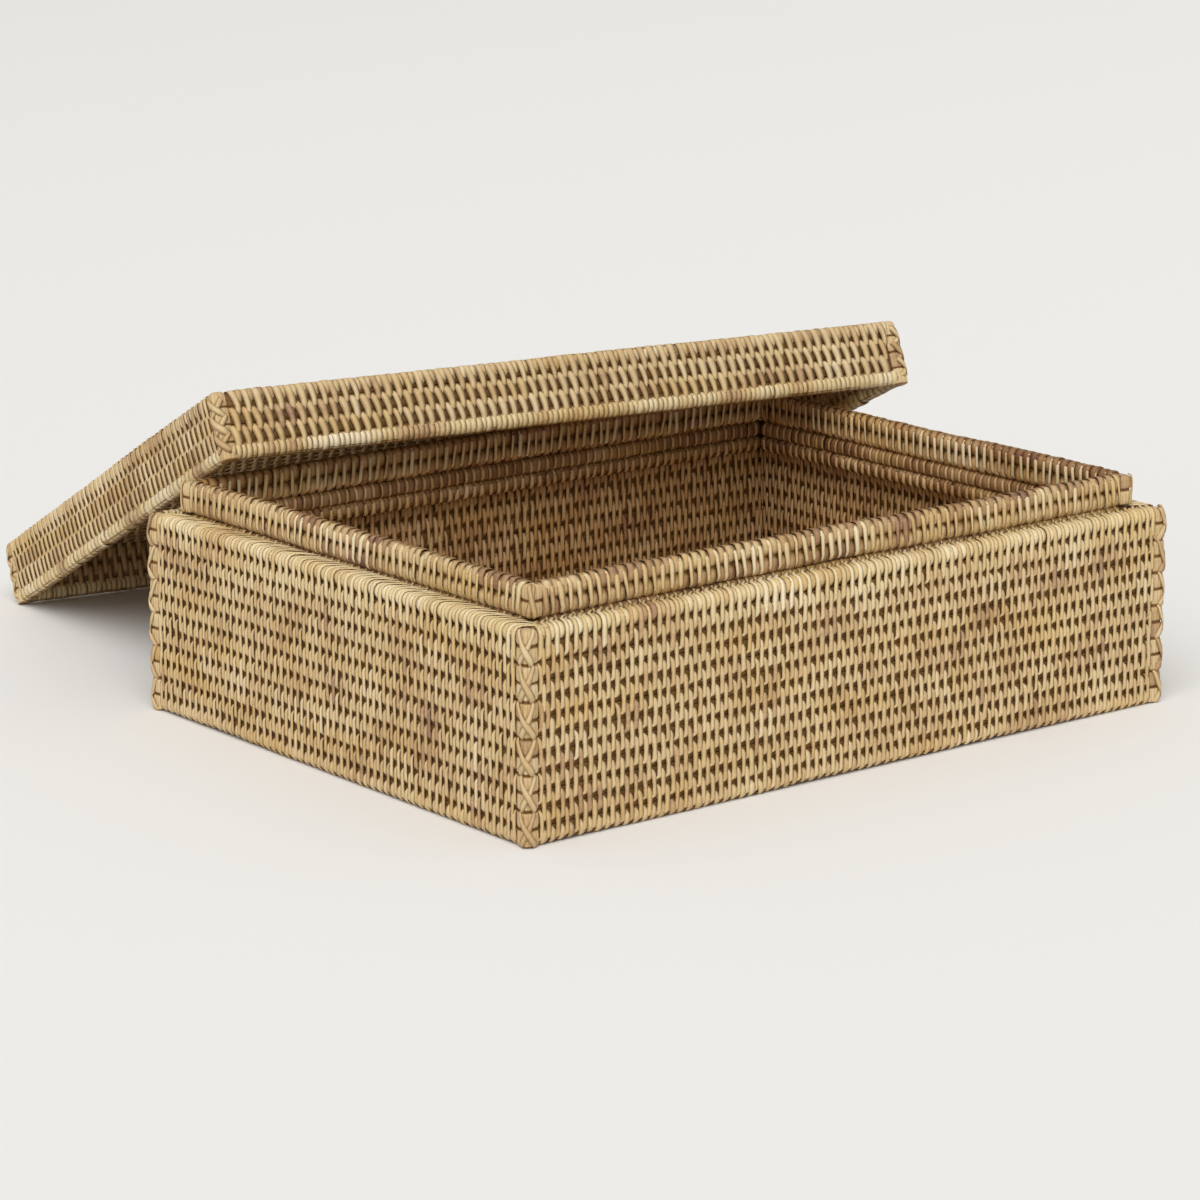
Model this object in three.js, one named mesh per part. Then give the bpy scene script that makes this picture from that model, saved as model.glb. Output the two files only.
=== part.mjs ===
// A lidded box woven from rattan: an open box with a raised collar, and a lift-off lid that leans on it.
// Millimetres, +Z up. The origin is the middle of the box's underside. +X runs along the box's long side,
// and -Y is the long side that faces the viewer.
import * as THREE from "three";

// Driving dimensions of the open box
const boxLength = 400;
const boxWidth = 304;
const wallHeight = 100;
const wallRods = 12;
const shoulderWidth = 12.2;
const shoulderDip = 1.5;

// Driving dimensions of the collar that the lid drops over, and of the two ridges under it inside
const collarRise = 16;
const collarRods = 2;
const collarThickness = 8;
const ridgeRods = 2;

// Driving dimensions of the lid, which has the same outline as the box
const lidHeight = 35.5;
const lidRods = 4;
const lidPanelThickness = 11.5;

// How the lid leans: its front edge reaches past the collar's back edge, which its left rim crosses near the left end
const lidOverhang = 31.8;
const rimCrossing = 28.4;

// Clearance between pieces that are bound together or rest on each other
const bindingGap = 0.3;

// Sections: how many flats stand for the round of a rod and of a lashed corner post
const rodSides = 12;
const postSides = 8;
const postWaistShare = 0.8;
const postShoulderShare = 0.25;

// Sizes that follow
const wallPitch = wallHeight / wallRods;
const wallThickness = wallPitch;
const collarPitch = collarRise / collarRods;
const collarInset = shoulderWidth;
const lidPitch = lidHeight / lidRods;
const lidWallThickness = lidPitch;
const flatShare = Math.tan(Math.PI / rodSides);
const rimRadius = lidWallThickness / 2;
const rimAxisHeight = rimRadius / Math.cos(Math.PI / rodSides);

// Finishes
const finishes = {
  wall: { color: 0xd0b888, roughness: 0.62, metalness: 0 },
  rim: { color: 0xd9c598, roughness: 0.55, metalness: 0 },
  collar: { color: 0xc4a474, roughness: 0.58, metalness: 0 },
  ridge: { color: 0x96704a, roughness: 0.6, metalness: 0 },
  lashing: { color: 0xcdb37f, roughness: 0.6, metalness: 0 },
  panel: { color: 0xb3935f, roughness: 0.68, metalness: 0 },
};

// The four sides, each seen from outside: its turn about the box, and the corner at its left end
const sides = [
  { name: "front", corner: "front_left", quarterTurns: 0 },
  { name: "right", corner: "front_right", quarterTurns: 1 },
  { name: "rear", corner: "rear_right", quarterTurns: 2 },
  { name: "left", corner: "rear_left", quarterTurns: 3 },
];

function named(name, geometry, finish) {
  const mesh = new THREE.Mesh(geometry, new THREE.MeshStandardMaterial(finishes[finish]));
  mesh.name = name;
  return mesh;
}

// One side of a stack of bound rods, from the foot up: [out from the middle plane, height]
function rodStackSide(thickness, pitch, rods) {
  const points = [];
  const facet = (2 * Math.PI) / rodSides;
  const reach = 1 / Math.cos(facet / 2);
  for (let rod = 0; rod < rods; rod += 1) {
    for (let corner = rod === 0 ? 0 : 1; corner < rodSides / 2; corner += 1) {
      const angle = (corner + 1 / 2) * facet - Math.PI / 2;
      const out = (thickness / 2) * reach * Math.cos(angle);
      const up = (pitch / 2) * (1 + reach * Math.sin(angle));
      points.push([out, rod * pitch + up]);
    }
  }
  return points;
}

// Carries an outline of [across, up] points along X: across is Y, and the bar is centred on X
function barFromOutline(outline, length) {
  const shape = new THREE.Shape(outline.map(([across, up]) => new THREE.Vector2(across, up)));
  const geometry = new THREE.ExtrudeGeometry(shape, { depth: length, bevelEnabled: false });
  const along = new THREE.Vector3(1, 0, 0);
  const across = new THREE.Vector3(0, 1, 0);
  const up = new THREE.Vector3(0, 0, 1);
  geometry.applyMatrix4(new THREE.Matrix4().makeBasis(across, up, along));
  geometry.translate(-length / 2, 0, 0);
  return geometry;
}

// A flat panel of rods that lie along X and are stacked up Z
function rodStack(length, thickness, pitch, rods) {
  const side = rodStackSide(thickness, pitch, rods);
  const back = side.map(([out, up]) => [-out, up]).reverse();
  return barFromOutline([...side, ...back], length);
}

// The rounded rod along the box's shoulder, with the wrap that runs in to the collar's foot
function shoulderBar(length, width, height) {
  const outer = rodStackSide(height, height, 1).map(([out, up]) => [height / 2 - width / 2 - out, up]);
  const inner = [[width / 2, 0], [width / 2, height - shoulderDip]];
  return barFromOutline([...inner, ...outer.reverse()], length);
}

// Cuts both ends at 45 degrees: each point of an end moves in by its distance from the outer face
function mitred(geometry, thickness) {
  const place = geometry.attributes.position;
  for (let index = 0; index < place.count; index += 1) {
    const fromOuterFace = place.getY(index) + thickness / 2;
    const end = Math.sign(place.getX(index));
    place.setX(index, place.getX(index) - end * (fromOuterFace + bindingGap / 2));
  }
  return geometry;
}

// A corner's column of cross lashings: one bead for each rod, drawn in between the rods
function lashedPost(thickness, pitch, rods) {
  const radius = thickness / 2 / Math.cos(Math.PI / postSides);
  const waist = radius * postWaistShare;
  const profile = [new THREE.Vector2(0, 0), new THREE.Vector2(waist, 0)];
  for (let rod = 0; rod < rods; rod += 1) {
    const foot = rod * pitch;
    profile.push(new THREE.Vector2(radius, foot + pitch * postShoulderShare));
    profile.push(new THREE.Vector2(radius, foot + pitch * (1 - postShoulderShare)));
    profile.push(new THREE.Vector2(waist, foot + pitch));
  }
  profile.push(new THREE.Vector2(0, rods * pitch));
  const geometry = new THREE.LatheGeometry(profile, postSides, Math.PI / postSides);
  geometry.rotateX(Math.PI / 2);
  return geometry;
}

// A flat panel lying level, its rods along X, as wide as the given width
function levelPanel(length, width, thickness, rodPitch) {
  const rods = 2 * Math.round((width / rodPitch - 1) / 2) + 1;
  const geometry = rodStack(length, thickness, width / rods, rods);
  geometry.rotateX(-Math.PI / 2);
  geometry.translate(0, -width / 2, thickness / 2);
  return geometry;
}

// Places a mesh in a side's own frame: along the side, in from the outer face by its middle, and up
function seat(group, mesh, along, outward, up) {
  mesh.position.set(along, -outward, up);
  group.add(mesh);
}

// A ring of four sides: build(side, run, reach, group) fills each one, turned into its place
function ring(build) {
  const whole = new THREE.Group();
  for (const side of sides) {
    const lengthwise = side.quarterTurns % 2 === 0;
    const group = new THREE.Group();
    group.rotation.z = (side.quarterTurns * Math.PI) / 2;
    build(side, lengthwise ? boxLength : boxWidth, (lengthwise ? boxWidth : boxLength) / 2, group);
    whole.add(group);
  }
  return whole;
}

// The woven walls between their lashed corners
function walls(prefix, thickness, pitch, rods, foot, finish) {
  return ring((side, run, reach, group) => {
    const panelLength = run - 2 * (thickness + bindingGap);
    const middle = reach - thickness / 2;
    const panel = rodStack(panelLength, thickness, pitch, rods);
    const post = lashedPost(thickness, pitch, rods);
    seat(group, named(`${prefix}_wall_${side.name}`, panel, finish), 0, middle, foot);
    seat(group, named(`${prefix}_corner_${side.corner}`, post, "lashing"), thickness / 2 - run / 2, middle, foot);
  });
}

// The box's shoulder: the top rod, wrapped in to the collar's foot
function shoulder() {
  const width = shoulderWidth - bindingGap;
  const height = wallPitch - bindingGap;
  return ring((side, run, reach, group) => {
    const bar = mitred(shoulderBar(run, width, height), width);
    seat(group, named(`shoulder_${side.name}`, bar, "rim"), 0, reach - width / 2, wallHeight - height);
  });
}

// The raised collar between its own lashed corners
function collar() {
  return ring((side, run, reach, group) => {
    const outerRun = run - 2 * collarInset;
    const stripLength = outerRun - 2 * (collarThickness + bindingGap);
    const middle = reach - collarInset - collarThickness / 2;
    const strip = rodStack(stripLength, collarThickness, collarPitch, collarRods);
    const post = lashedPost(collarThickness, collarPitch, collarRods);
    const postPlace = collarThickness / 2 - outerRun / 2;
    seat(group, named(`collar_${side.name}`, strip, "collar"), 0, middle, wallHeight);
    seat(group, named(`collar_corner_${side.corner}`, post, "lashing"), postPlace, middle, wallHeight);
  });
}

// The wrapped rods that show as ridges inside, under the collar
function ridges() {
  const height = collarPitch - bindingGap;
  return ring((side, run, reach, group) => {
    for (let rod = 1; rod <= ridgeRods; rod += 1) {
      const bar = mitred(rodStack(run - 2 * collarInset, collarThickness, height, 1), collarThickness);
      const middle = reach - collarInset - collarThickness / 2;
      const foot = wallHeight - rod * collarPitch;
      seat(group, named(`ridge_rod_${rod}_${side.name}`, bar, "ridge"), 0, middle, foot);
    }
  });
}

// The box's woven floor, level with the feet of its walls
function floorPanel() {
  const edge = 2 * (wallThickness + bindingGap);
  const panel = levelPanel(boxLength - edge, boxWidth - edge, wallThickness, wallPitch);
  return named("base_floor", panel, "panel");
}

function openBox() {
  const box = new THREE.Group();
  box.add(floorPanel());
  box.add(walls("base", wallThickness, wallPitch, wallRods - 1, 0, "wall"));
  box.add(shoulder());
  box.add(collar());
  box.add(ridges());
  return box;
}

// The lid's wrapped lower rim
function lidRim() {
  return ring((side, run, reach, group) => {
    const bar = mitred(rodStack(run, lidWallThickness, lidPitch - bindingGap, 1), lidWallThickness);
    seat(group, named(`lid_rim_${side.name}`, bar, "rim"), 0, reach - lidWallThickness / 2, 0);
  });
}

// The lid in its own frame, as it sits when it is level: its rim's underside at height zero
function levelLid() {
  const lid = new THREE.Group();
  const edge = 2 * (lidWallThickness + bindingGap);
  const panel = levelPanel(boxLength - edge, boxWidth - edge, lidPanelThickness, lidPitch);
  const panelMesh = named("lid_panel", panel, "panel");
  panelMesh.position.z = lidHeight - lidPanelThickness;
  lid.add(panelMesh);
  lid.add(walls("lid", lidWallThickness, lidPitch, lidRods - 1, lidPitch, "wall"));
  lid.add(lidRim());
  return lid;
}

// How steeply the lid leans: its left rim runs from the ground over the top edge at the collar's back.
// Returns the lean and how far behind that edge the back rim's axis stands.
function lidSlope() {
  const offAxis = rimRadius + bindingGap;
  const toEdge = Math.hypot(boxWidth - rimRadius - lidOverhang, offAxis);
  const edgeSlope = Math.asin((wallHeight + collarRise - rimAxisHeight) / toEdge);
  return { lean: edgeSlope + Math.asin(offAxis / toEdge), fromBackRim: toEdge * Math.cos(edgeSlope) };
}

// Where the leaning lid comes to rest. Its back rim stands on the ground. Its left rim crosses the top edge
// at the collar's back, and the underside of its panel lies on the collar's back right corner.
function leaningPlace() {
  const { lean, fromBackRim } = lidSlope();
  const collarBack = boxWidth / 2 - collarInset;
  const stripEdge = collarBack - (collarThickness / 2) * (1 - flatShare);
  const postDrawIn = (collarThickness / 2) * (1 - postWaistShare);
  const crossing = rimCrossing - boxLength / 2;
  const alongToPost = boxLength / 2 - collarInset - postDrawIn - crossing;
  const backToPost = collarBack - postDrawIn - stripEdge;
  const innerDepth = lidHeight - lidPanelThickness;
  const drop = innerDepth / (Math.sin(lean) * Math.hypot(alongToPost, backToPost));
  const turn = Math.atan2(backToPost, alongToPost) - Math.asin(drop);
  const rimAlong = rimRadius * (1 + flatShare) - boxLength / 2;
  const x = crossing - rimAlong * Math.cos(turn) - fromBackRim * Math.sin(turn);
  const y = stripEdge - rimAlong * Math.sin(turn) + fromBackRim * Math.cos(turn);
  return { x, y, lean, turn };
}

function leaningLid() {
  const place = leaningPlace();
  const lid = levelLid();
  lid.position.set(0, rimRadius - boxWidth / 2, -rimRadius);
  const leaning = new THREE.Group();
  leaning.rotation.x = -place.lean;
  leaning.add(lid);
  const standing = new THREE.Group();
  standing.rotation.z = place.turn;
  standing.position.set(place.x, place.y, rimAxisHeight);
  standing.add(leaning);
  return standing;
}

const wovenBox = new THREE.Group();
wovenBox.add(openBox());
wovenBox.add(leaningLid());

export default wovenBox;
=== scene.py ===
# %% [markdown]
# # A lidded box woven from rattan
#
# The real box is made of one plant used in two ways. Round core rods, about 7 mm thick, lie one above another and
# make the walls. Thin flat strips peeled from the skin of the cane are wound round each pair of neighbouring rods
# and bind them. A texture on a plain wall could suggest this, but the camera sees the rods' rounded edges, the dark
# gaps between strips and the inside of the far wall. So here each strip is a small closed band of its own, laid
# where the binding passes, and all of them are worked out as whole arrays with numpy.
#
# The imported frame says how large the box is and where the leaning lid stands. Everything else starts from it.

import math

import bpy
import numpy as np
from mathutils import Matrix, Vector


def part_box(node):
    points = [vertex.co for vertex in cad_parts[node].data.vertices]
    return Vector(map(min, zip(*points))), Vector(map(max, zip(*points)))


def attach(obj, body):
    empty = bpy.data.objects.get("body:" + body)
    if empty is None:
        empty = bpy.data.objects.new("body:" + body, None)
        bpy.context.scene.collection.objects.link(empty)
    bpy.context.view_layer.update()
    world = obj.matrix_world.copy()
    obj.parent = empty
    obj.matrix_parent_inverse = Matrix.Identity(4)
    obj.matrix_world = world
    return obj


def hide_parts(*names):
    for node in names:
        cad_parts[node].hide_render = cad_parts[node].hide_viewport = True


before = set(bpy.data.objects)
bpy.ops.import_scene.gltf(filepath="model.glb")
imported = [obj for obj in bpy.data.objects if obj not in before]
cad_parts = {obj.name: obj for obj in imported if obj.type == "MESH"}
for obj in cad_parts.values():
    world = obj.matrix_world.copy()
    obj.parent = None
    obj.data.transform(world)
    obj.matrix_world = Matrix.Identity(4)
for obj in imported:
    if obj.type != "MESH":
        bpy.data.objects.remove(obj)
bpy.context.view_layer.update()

# %% [markdown]
# ## Measure the box
#
# Lengths below are in millimetres, because that is how a basket maker measures rods and strips. The frame is in
# metres, so its boxes are scaled on the way in, and each finished mesh is scaled on the way out. Sizes could be
# typed here, but read from the frame they can't disagree with it.

# %% Sizes read from the frame
MM = 0.001
WALL_RODS, COLLAR_RODS = 11, 2


def node_box(node):
    """The lowest and highest corner of a frame node, in millimetres."""
    low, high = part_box(node)
    return np.array(low) / MM, np.array(high) / MM


wall_low, wall_high = node_box("base_wall_front")
collar_low, collar_high = node_box("collar_front")
post_low = node_box("base_corner_front_left")[0]
BOX_LENGTH, BOX_WIDTH = -2 * post_low[0], -2 * post_low[1]
WALL_PITCH = (wall_high[2] - wall_low[2]) / WALL_RODS
WALL_THICKNESS = wall_high[1] - wall_low[1]
WALL_TOP = collar_low[2]
COLLAR_INSET = collar_low[1] - post_low[1]
COLLAR_THICKNESS = collar_high[1] - collar_low[1]
COLLAR_PITCH = (collar_high[2] - collar_low[2]) / COLLAR_RODS
print(f"box {BOX_LENGTH:.1f} x {BOX_WIDTH:.1f} mm, wall {WALL_TOP:.1f} mm high, rods every {WALL_PITCH:.2f} mm")

# %% [markdown]
# ## A side's own frame
#
# Each side is worked out flat, as it is seen from outside: along the run, up the wall, and out towards the viewer.
# An origin and the directions of run, up and out then carry it into place. Rotated objects could do this too, but
# a finished piece has to lie at the origin, unturned. The same shapes serve the lid, whose sides only have other
# origins and directions.

# %% Carry a flat side into its place
SIDES = ("front", "right", "rear", "left")
SIDE_LENGTHS = (BOX_LENGTH, BOX_WIDTH) * 2


def side_frames(length, width, run_way, depth_way, up_way, foot):
    """Each side's (origin, run, up, out): the middle of its foot on the outer face, and its three directions."""
    quarter = [(run_way, -depth_way, width), (depth_way, run_way, length)]
    frames = {}
    for number, name in enumerate(SIDES):
        run, out, span = quarter[number % 2]
        turn = 1 if number < 2 else -1
        frames[name] = (foot + turn * out * span / 2, turn * run, up_way, turn * out)
    return frames


def carry(points, place):
    """Points given as (run, up, out) become places in the row frame: origin plus each number times its way."""
    origin, run, up, out = place
    return origin + points[..., :1] * run + points[..., 1:2] * up + points[..., 2:3] * out


X_WAY, Y_WAY, Z_WAY = np.eye(3)
box_sides = side_frames(BOX_LENGTH, BOX_WIDTH, X_WAY, Y_WAY, Z_WAY, np.zeros(3))
print("front side starts at", box_sides["front"][0])

# %% [markdown]
# ## The leaning lid's frame
#
# The lid stands on the ground behind the box and leans on its collar. The frame has no angle written in it, but
# the lid's four corner posts are all alike, so the lines between their middles are the lid's own directions.

# %% Find the lid's directions from its corner posts
LID_RODS = 4
posts = {c: sum(node_box(f"lid_corner_{c}")) / 2 for c in ("front_left", "front_right", "rear_right", "rear_left")}
lid_run = posts["front_right"] - posts["front_left"] + posts["rear_right"] - posts["rear_left"]
lid_depth = posts["rear_left"] - posts["front_left"] + posts["rear_right"] - posts["front_right"]
post_length, post_width = np.linalg.norm(lid_run) / 2, np.linalg.norm(lid_depth) / 2
lid_run, lid_depth = lid_run / np.linalg.norm(lid_run), lid_depth / np.linalg.norm(lid_depth)
lid_up = np.cross(lid_run, lid_depth)
LID_THICKNESS = BOX_LENGTH - post_length
LID_PITCH = LID_THICKNESS
LID_HEIGHT = LID_PITCH * LID_RODS
lid_foot = sum(posts.values()) / 4 - lid_up * (LID_PITCH + LID_HEIGHT) / 2
lid_sides = side_frames(BOX_LENGTH, BOX_WIDTH, lid_run, lid_depth, lid_up, lid_foot)
lean = math.degrees(math.acos(lid_up[2]))
print(f"lid {post_length + LID_THICKNESS:.1f} x {post_width + LID_THICKNESS:.1f} mm, leaning {lean:.1f} degrees")

# %% [markdown]
# ## The camera
#
# It stands where the photograph was taken from: to the left of the box and a little above it, far enough away that
# the lines hardly converge. A camera's place can be tried out by eye, but it is surer to find it by matching a few
# corners of a box whose proportions are known, which is where these numbers come from.

# %% Camera at the photograph's angle
CAMERA_PLACE = (-1.2771, -1.5510, 0.5472)
CAMERA_TURN, CAMERA_DIP = 38.65, 13.804
CAMERA_LENS, SENSOR_WIDTH = 125.6, 36
FARTHEST_SEEN = 60

camera_data = bpy.data.cameras.new("camera")
camera_data.lens = CAMERA_LENS
camera_data.sensor_width = SENSOR_WIDTH
camera_data.clip_end = FARTHEST_SEEN
camera = bpy.data.objects.new("camera", camera_data)
camera.location = CAMERA_PLACE
camera.rotation_euler = (math.radians(90 - CAMERA_DIP), 0, math.radians(-CAMERA_TURN))
bpy.context.scene.collection.objects.link(camera)
bpy.context.scene.camera = camera
print("camera", tuple(round(c, 3) for c in camera.location))

# %% [markdown]
# ## Parts: arrays that wait to become a mesh
#
# Blender can add a mesh object for each strip and join them later, but with thousands of strips that is slow. Here a
# part is whole arrays: points, four-sided and three-sided faces, and two three-number attributes that the materials
# read. `strip` says where a point is on its own strip: across it from -1 to 1, along it in millimetres, and a random
# number that all points of one strip share. `place` says where it is on the piece: along the run in millimetres,
# which row, and how deep, from 0 at the outer face to 2 at the inner one.

# %% Make, turn and join parts
def make_part(points, quads, triangles, strip, place, finish=0):
    """Gathers one part's arrays, each flattened to one row for each point or face."""
    part = {"finish": finish}
    for key, values in (("points", points), ("strip", strip), ("place", place)):
        part[key] = np.asarray(values, float).reshape(-1, 3)
    for key, values, corners in (("quads", quads, 4), ("triangles", triangles, 3)):
        part[key] = np.asarray(values, int).reshape(-1, corners)
    return part


def outward(part):
    """Turns a part's faces round if they enclose less than nothing: the sum of corner . (edge x edge) over them."""
    a, b, c = (part["points"][part["quads"][:, k]] for k in (0, 1, 2))
    if np.einsum("ij,ij->", a - part["points"].mean(0), np.cross(b - a, c - a)) < 0:
        part["quads"] = part["quads"][:, ::-1]
        part["triangles"] = part["triangles"][:, ::-1]
    return part


def joined(parts):
    """Stacks parts into one set of arrays, moving each part's corner numbers past the points before it."""
    starts = np.cumsum([0] + [len(p["points"]) for p in parts[:-1]])
    stacked = {key: np.concatenate([p[key] for p in parts]) for key in ("points", "strip", "place")}
    for key in ("quads", "triangles"):
        stacked[key] = np.concatenate([p[key] + start for p, start in zip(parts, starts)])
    finish = [np.full(len(p[key]), p["finish"]) for key in ("quads", "triangles") for p in parts]
    stacked["finish"] = np.concatenate(finish)
    return stacked


print("a part holds points, quads, triangles, strip, place and finish")

# %% [markdown]
# ## Pieces: one object for each CAD node
#
# Each piece of the box is one mesh object that rides a body of the frame and stands for one CAD node, which is then
# hidden. `foreach_set` hands a whole array to Blender in one go. The rows of each side are numbered on from 20 more
# than the last one's, so that the noise in the materials gives each side patches of its own. No point may go below
# the ground that the box stands on.

# %% Turn parts into a riding piece
ROWS_PER_SIDE = 20
made = {}


def woven_piece(name, body, slot, parts, place, finishes, *nodes, number=0):
    """Makes one object from flat parts, carried into place, in metres in the row frame. number is the side's."""
    whole = joined(parts)
    points = carry(whole["points"], place)
    points[:, 2] = points[:, 2].clip(0)
    whole["place"][:, 1] += ROWS_PER_SIDE * number
    corners = np.concatenate([whole["quads"].ravel(), whole["triangles"].ravel()])
    sizes = np.repeat([4, 3], [len(whole["quads"]), len(whole["triangles"])])
    mesh = bpy.data.meshes.new(name)
    mesh.vertices.add(len(points))
    mesh.vertices.foreach_set("co", (points * MM).ravel())
    mesh.loops.add(len(corners))
    mesh.loops.foreach_set("vertex_index", corners)
    mesh.polygons.add(len(sizes))
    mesh.polygons.foreach_set("loop_start", np.concatenate([[0], np.cumsum(sizes)[:-1]]))
    mesh.polygons.foreach_set("material_index", whole["finish"])
    mesh.polygons.foreach_set("use_smooth", np.ones(len(sizes), bool))
    for key in ("strip", "place"):
        mesh.attributes.new(key, "FLOAT_VECTOR", "POINT").data.foreach_set("vector", whole[key].ravel())
    for finish in finishes:
        mesh.materials.append(finish)
    mesh.update(calc_edges=True)
    piece = bpy.data.objects.new(name, mesh)
    bpy.context.scene.collection.objects.link(piece)
    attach(piece, body)
    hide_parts(*nodes)
    made[name] = int((sizes - 2).sum())


def triangles_with(word):
    """How many triangles the pieces with a word in their name have so far."""
    return sum(count for name, count in made.items() if word in name)


print("pieces so far:", len(made))

# %% [markdown]
# ## A band, the shape of every strip
#
# Rattan peel is flat inside and slightly crowned outside. A plane with a Solidify modifier would do for a few
# strips. For thousands, a section of four corners along a path is lighter: two edges, a crown between them on the
# outside, and a shallow keel on the inside that gives the strip its thickness.

# %% The band
KEEL = 0.22


def ring_quads(steps, corners, closed):
    """Faces between neighbouring sections of a tube whose sections have the same number of corners."""
    step, corner = np.meshgrid(np.arange(steps if closed else steps - 1), np.arange(corners), indexing="ij")
    ahead, beside = (step + 1) % steps, (corner + 1) % corners
    near, far = step * corners, ahead * corners
    return np.stack([near + corner, near + beside, far + beside, far + corner], -1).reshape(-1, 4)


def bands(middle, across, face, width, crown, closed, lot, run, row, depth, keel=KEEL, finish=0):
    """Bands along paths. Each section is middle - across*width/2, middle + face*crown, middle + across*width/2 and
    middle - face*keel. middle, across and face are arrays of (band, step, 3), the others (band, step)."""
    count, steps = middle.shape[:2]
    half = across * (width / 2)[..., None]
    section = np.stack([middle - half, middle + face * crown[..., None], middle + half, middle - face * keel], 2)
    legs = np.linalg.norm(np.diff(middle, axis=1, prepend=middle[:, :1]), axis=2)
    along = np.cumsum(legs, 1)
    sideways = np.array([-1.0, 0.0, 1.0, 0.0])
    grid = np.ones((count, steps, 4))
    strip = np.stack([grid * sideways, grid * along[..., None], grid * lot[:, None, None]], -1)
    place = np.stack([grid * run[:, None, None], grid * row[:, None, None], grid * depth[..., None]], -1)
    one = ring_quads(steps, 4, closed)
    if not closed:
        last = 4 * (steps - 1)
        one = np.concatenate([one, [[3, 2, 1, 0]], [[last, last + 1, last + 2, last + 3]]])
    quads = (np.arange(count) * steps * 4)[:, None, None] + one
    return outward(make_part(section, quads, [], strip, place, finish))


print("a closed band of 14 steps has", len(ring_quads(14, 4, True)), "faces")

# %% [markdown]
# ## The path of a stitch
#
# A stitch goes round two rods: down over the front of the upper one, straight across the seam, down over the lower
# one, then through the seam below and up the back. A wrap is the same thing round one rod. A bevelled curve could
# follow such a path, but a short table is easier to draw from the photograph: it says how wide the strip is at each
# height and how far it has moved sideways there.

# %% Stitch and wrap paths
BACK_HEIGHTS = np.array([-0.76, -0.55, 0.0, 0.6, 0.88])
BACK_WIDTH_SHARES = np.array([0.95, 1.0, 0.8, 0.95, 0.85])
SEAM_SAG = 0.12


def superellipse_height(share, power):
    """How high a superellipse of height one stands at a share of its half width: (1 - share^power)^(1/power)."""
    return (1 - share**power) ** (1 / power)


def superellipse_reach(turn, power):
    """How far a superellipse of radius one reaches in a direction: (|cos|^power + |sin|^power)^(-1/power)."""
    return (np.abs(np.cos(turn)) ** power + np.abs(np.sin(turn)) ** power) ** (-1 / power)


def stitch_path(pitch, deep, high, width, table, sweep, bends):
    """(out, up, shift, width) round two rods a pitch apart. Each line of table is a place down the front: height as a
    share of the pitch, a share of the width, a share of the sweep and, where there is a fourth number, how far in the
    strip is drawn. Between the rods' middles the strip is straight, with a sag at the seam. Beyond them it bends over
    each rod as a superellipse of radii deep and high, whose power is the first of bends above and the second below,
    where high is also multiplied by the third."""
    heights = np.concatenate([table[:, 0], BACK_HEIGHTS])
    face = np.where(np.arange(len(heights)) < len(table), 1, -1)
    above = heights > 0
    beyond = ((np.abs(heights) - 0.5) * pitch / (high * np.where(above, 1, bends[2]))).clip(0, 1)
    out = deep * superellipse_height(beyond, np.where(above, bends[0], bends[1])) - SEAM_SAG * (heights == 0)
    if table.shape[1] > 3:
        out[:len(table)] -= table[:, 3]
    back_shift = np.linspace(table[-1, 2], table[0, 2], len(BACK_HEIGHTS) + 2)[1:-1]
    shift = sweep * np.concatenate([table[:, 2], back_shift])
    wide = width * np.concatenate([table[:, 1], BACK_WIDTH_SHARES])
    return np.stack([out * face, heights * pitch, shift, wide], 1)


def wrap_path(deep, high, width, pinch=0.8, power=2.0, steps=12):
    """(out, up, shift, width) round one rod: a superellipse of radii deep and high that starts at the top, with its
    width pinched where it passes between rods."""
    turn = np.pi / 2 - np.arange(steps) * 2 * np.pi / steps
    swell = superellipse_reach(turn, power)
    wide = width * (pinch + (1 - pinch) * np.cos(turn) ** 2)
    return np.stack([deep * swell * np.cos(turn), high * swell * np.sin(turn), 0 * turn, wide], 1)


print("a wrap goes out, up and to the side over", len(wrap_path(1, 1, 1)), "steps")

# %% [markdown]
# ## Lay bands side by side
#
# By hand no two stitches come out alike. Copies made by an Array modifier would be, so here each band gets its own
# small shift, tilt, width and height, drawn from a generator with a fixed seed, which gives the same box each time.

# %% Bands on one path
BAND_LIFT = 0.06
NARROWEST, WIDEST = 0.6, 1.3


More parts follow.
